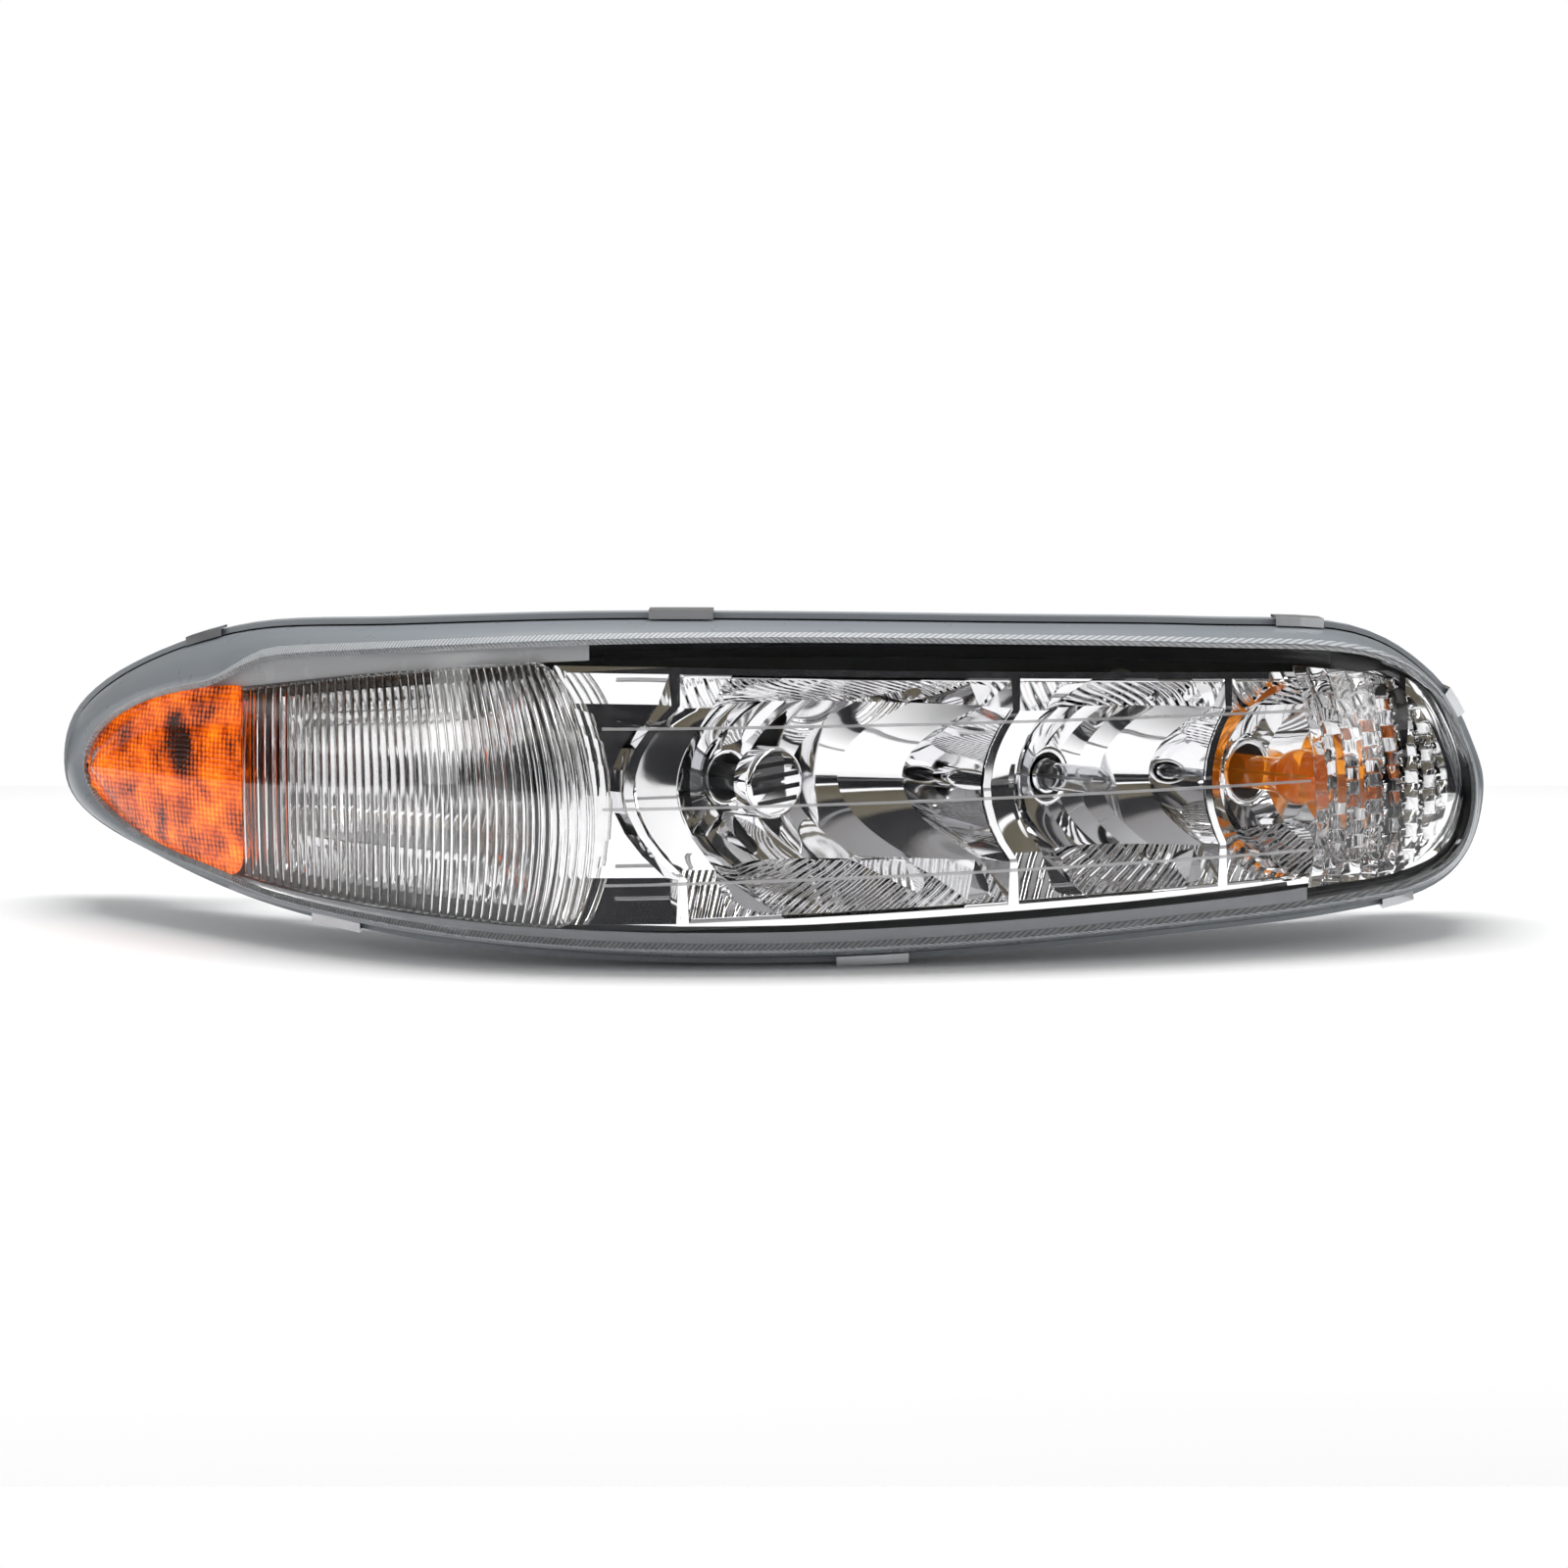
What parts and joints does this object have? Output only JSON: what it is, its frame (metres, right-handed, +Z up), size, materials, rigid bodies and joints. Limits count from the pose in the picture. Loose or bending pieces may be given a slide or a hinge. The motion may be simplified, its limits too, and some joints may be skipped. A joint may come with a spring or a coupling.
{
  "type": "car headlight assembly",
  "caption": "Swept-back car headlight: clear fluted lens over chrome bowls, amber side lens, rear dust caps, twist-in bulbs, ball-jointed aiming adjusters.",
  "frame": {"origin": "centre of the inner mounting pad's face on the housing's back", "axes": "+X along the lens towards the car's centre line, -Y out through the lens, +Z up; the car's straight ahead lies 40 degrees round from -Y towards +X"},
  "size_m": [0.7025, 0.2748, 0.1606],
  "materials": {
    "housing_plastic": "fine grain, moulded",
    "lens_clear": "clear moulded, fluted at the ends",
    "sealant": "cured bead",
    "amber_lens": "transparent amber with small prisms",
    "bright_metal": "vacuum-metallised, mirror bright",
    "black_plastic": "moulded",
    "black_rubber": "matt",
    "cap_rubber": "matt, moulded",
    "ring_rubber": "matt",
    "steel": "zinc plated",
    "nylon": "natural",
    "clip_steel": "plated spring steel",
    "contact_metal": "tinned",
    "bulb_glass": "clear",
    "amber_glass": "transparent amber"
  },
  "bodies": {
    "housing": {"housing": "housing_plastic", "lens": "lens_clear", "lens_seal": "sealant", "amber_side_lens": "amber_lens", "corner_reflector": "bright_metal", "marker_reflector": "bright_metal", "harness_inlet": "black_plastic", "inner_vent_cap": "black_rubber", "outer_vent_cap": "black_rubber", "pivot_ball_stud": "steel", "vertical_bushing": "black_plastic", "horizontal_bushing": "black_plastic", "lens_clip_1": "clip_steel", "lens_clip_2": "clip_steel", "lens_clip_3": "clip_steel", "lens_clip_4": "clip_steel", "lens_clip_5": "clip_steel", "lens_clip_6": "clip_steel", "lens_clip_7": "clip_steel", "inlet_blade_1": "contact_metal", "inlet_blade_2": "contact_metal", "inlet_blade_3": "contact_metal", "inlet_blade_4": "contact_metal"},
    "aim_carrier": {"pivot_ball_socket": "nylon"},
    "reflector": {"reflector": "bright_metal", "low_beam_shield": "bright_metal", "vertical_ball_socket": "nylon", "horizontal_ball_socket": "nylon"},
    "vertical_nut": {"vertical_ball_nut": "nylon"},
    "vertical_screw": {"vertical_screw": "steel"},
    "horizontal_nut": {"horizontal_ball_nut": "nylon"},
    "horizontal_screw": {"horizontal_screw": "steel"},
    "low_bulb": {"low_bulb_glass": "bulb_glass", "low_bulb_base": "black_plastic", "low_bulb_ring": "ring_rubber"},
    "high_bulb": {"high_bulb_glass": "bulb_glass", "high_bulb_base": "black_plastic", "high_bulb_ring": "ring_rubber"},
    "turn_bulb": {"turn_bulb_glass": "amber_glass", "turn_bulb_base": "black_plastic", "turn_bulb_ring": "ring_rubber"},
    "low_cap": {"low_dust_cap": "cap_rubber", "low_cap_seal": "black_rubber"},
    "high_cap": {"high_dust_cap": "cap_rubber", "high_cap_seal": "black_rubber"},
    "turn_cap": {"turn_dust_cap": "cap_rubber", "turn_cap_seal": "black_rubber"},
    "corner_bulb": {"corner_bulb_glass": "bulb_glass", "corner_bulb_base": "black_plastic", "corner_bulb_ring": "ring_rubber"},
    "marker_bulb": {"marker_bulb_glass": "bulb_glass", "marker_bulb_base": "black_plastic", "marker_bulb_ring": "ring_rubber"}
  },
  "joints": [
    {"name": "horizontal_aim", "type": "hinge", "parent": "housing", "child": "aim_carrier", "pos_m": [-0.1045, -0.0874, 0.037], "axis": [0, 0, 1], "range_deg": [-2, 2]},
    {"name": "vertical_aim", "type": "hinge", "parent": "aim_carrier", "child": "reflector", "pos_m": [-0.1045, -0.0874, 0.037], "axis": [0.9903, 0.1392, 0], "range_deg": [-2.5, 2.5]},
    {"name": "vertical_nut_travel", "type": "slide", "parent": "housing", "child": "vertical_nut", "axis": [-0.1392, 0.9903, 0], "range_m": [-0.005, 0.005]},
    {"name": "vertical_screw_turn", "type": "hinge", "parent": "housing", "child": "vertical_screw", "pos_m": [-0.1045, -0.0874, -0.037], "axis": [-0.1392, 0.9903, 0], "range_deg": [-450, 450]},
    {"name": "horizontal_nut_travel", "type": "slide", "parent": "housing", "child": "horizontal_nut", "axis": [-0.1392, 0.9903, 0], "range_m": [-0.011, 0.011]},
    {"name": "horizontal_screw_turn", "type": "hinge", "parent": "housing", "child": "horizontal_screw", "pos_m": [-0.36494, -0.124, 0.037], "axis": [-0.1392, 0.9903, 0], "range_deg": [-1200, 1200]},
    {"name": "low_bulb_twist", "type": "hinge", "parent": "reflector", "child": "low_bulb", "pos_m": [-0.29969, -0.11153, -0.0015], "axis": [-0.6428, 0.766, 0], "range_deg": [0, 45]},
    {"name": "high_bulb_twist", "type": "hinge", "parent": "reflector", "child": "high_bulb", "pos_m": [-0.15233, -0.10667, -0.0015], "axis": [-0.6428, 0.766, 0], "range_deg": [0, 45]},
    {"name": "turn_bulb_twist", "type": "hinge", "parent": "reflector", "child": "turn_bulb", "pos_m": [-0.05553, -0.07113, -0.003], "axis": [-0.6428, 0.766, 0], "range_deg": [0, 45]},
    {"name": "low_cap_twist", "type": "hinge", "parent": "housing", "child": "low_cap", "pos_m": [-0.33633, -0.06786, -0.0015], "axis": [-0.6428, 0.766, 0], "range_deg": [0, 30]},
    {"name": "high_cap_twist", "type": "hinge", "parent": "housing", "child": "high_cap", "pos_m": [-0.19026, -0.06148, -0.0015], "axis": [-0.6428, 0.766, 0], "range_deg": [0, 30]},
    {"name": "turn_cap_twist", "type": "hinge", "parent": "housing", "child": "turn_cap", "pos_m": [-0.08574, -0.03513, -0.003], "axis": [-0.6428, 0.766, 0], "range_deg": [0, 30]},
    {"name": "corner_socket_twist", "type": "hinge", "parent": "housing", "child": "corner_bulb", "pos_m": [-0.414, -0.058, -0.003], "axis": [0, 1, 0], "range_deg": [0, 45]},
    {"name": "marker_socket_twist", "type": "hinge", "parent": "housing", "child": "marker_bulb", "pos_m": [-0.546, 0.041, -0.001], "axis": [0, 1, 0], "range_deg": [0, 45]}
  ],
  "couplings": [
    {"joint": "vertical_nut_travel", "follows": "vertical_aim", "m_per_rad": 0.074},
    {"joint": "vertical_screw_turn", "follows": "vertical_aim", "ratio": -154.99},
    {"joint": "horizontal_nut_travel", "follows": "horizontal_aim", "m_per_rad": -0.263},
    {"joint": "horizontal_screw_turn", "follows": "horizontal_aim", "ratio": 550.83}
  ]
}
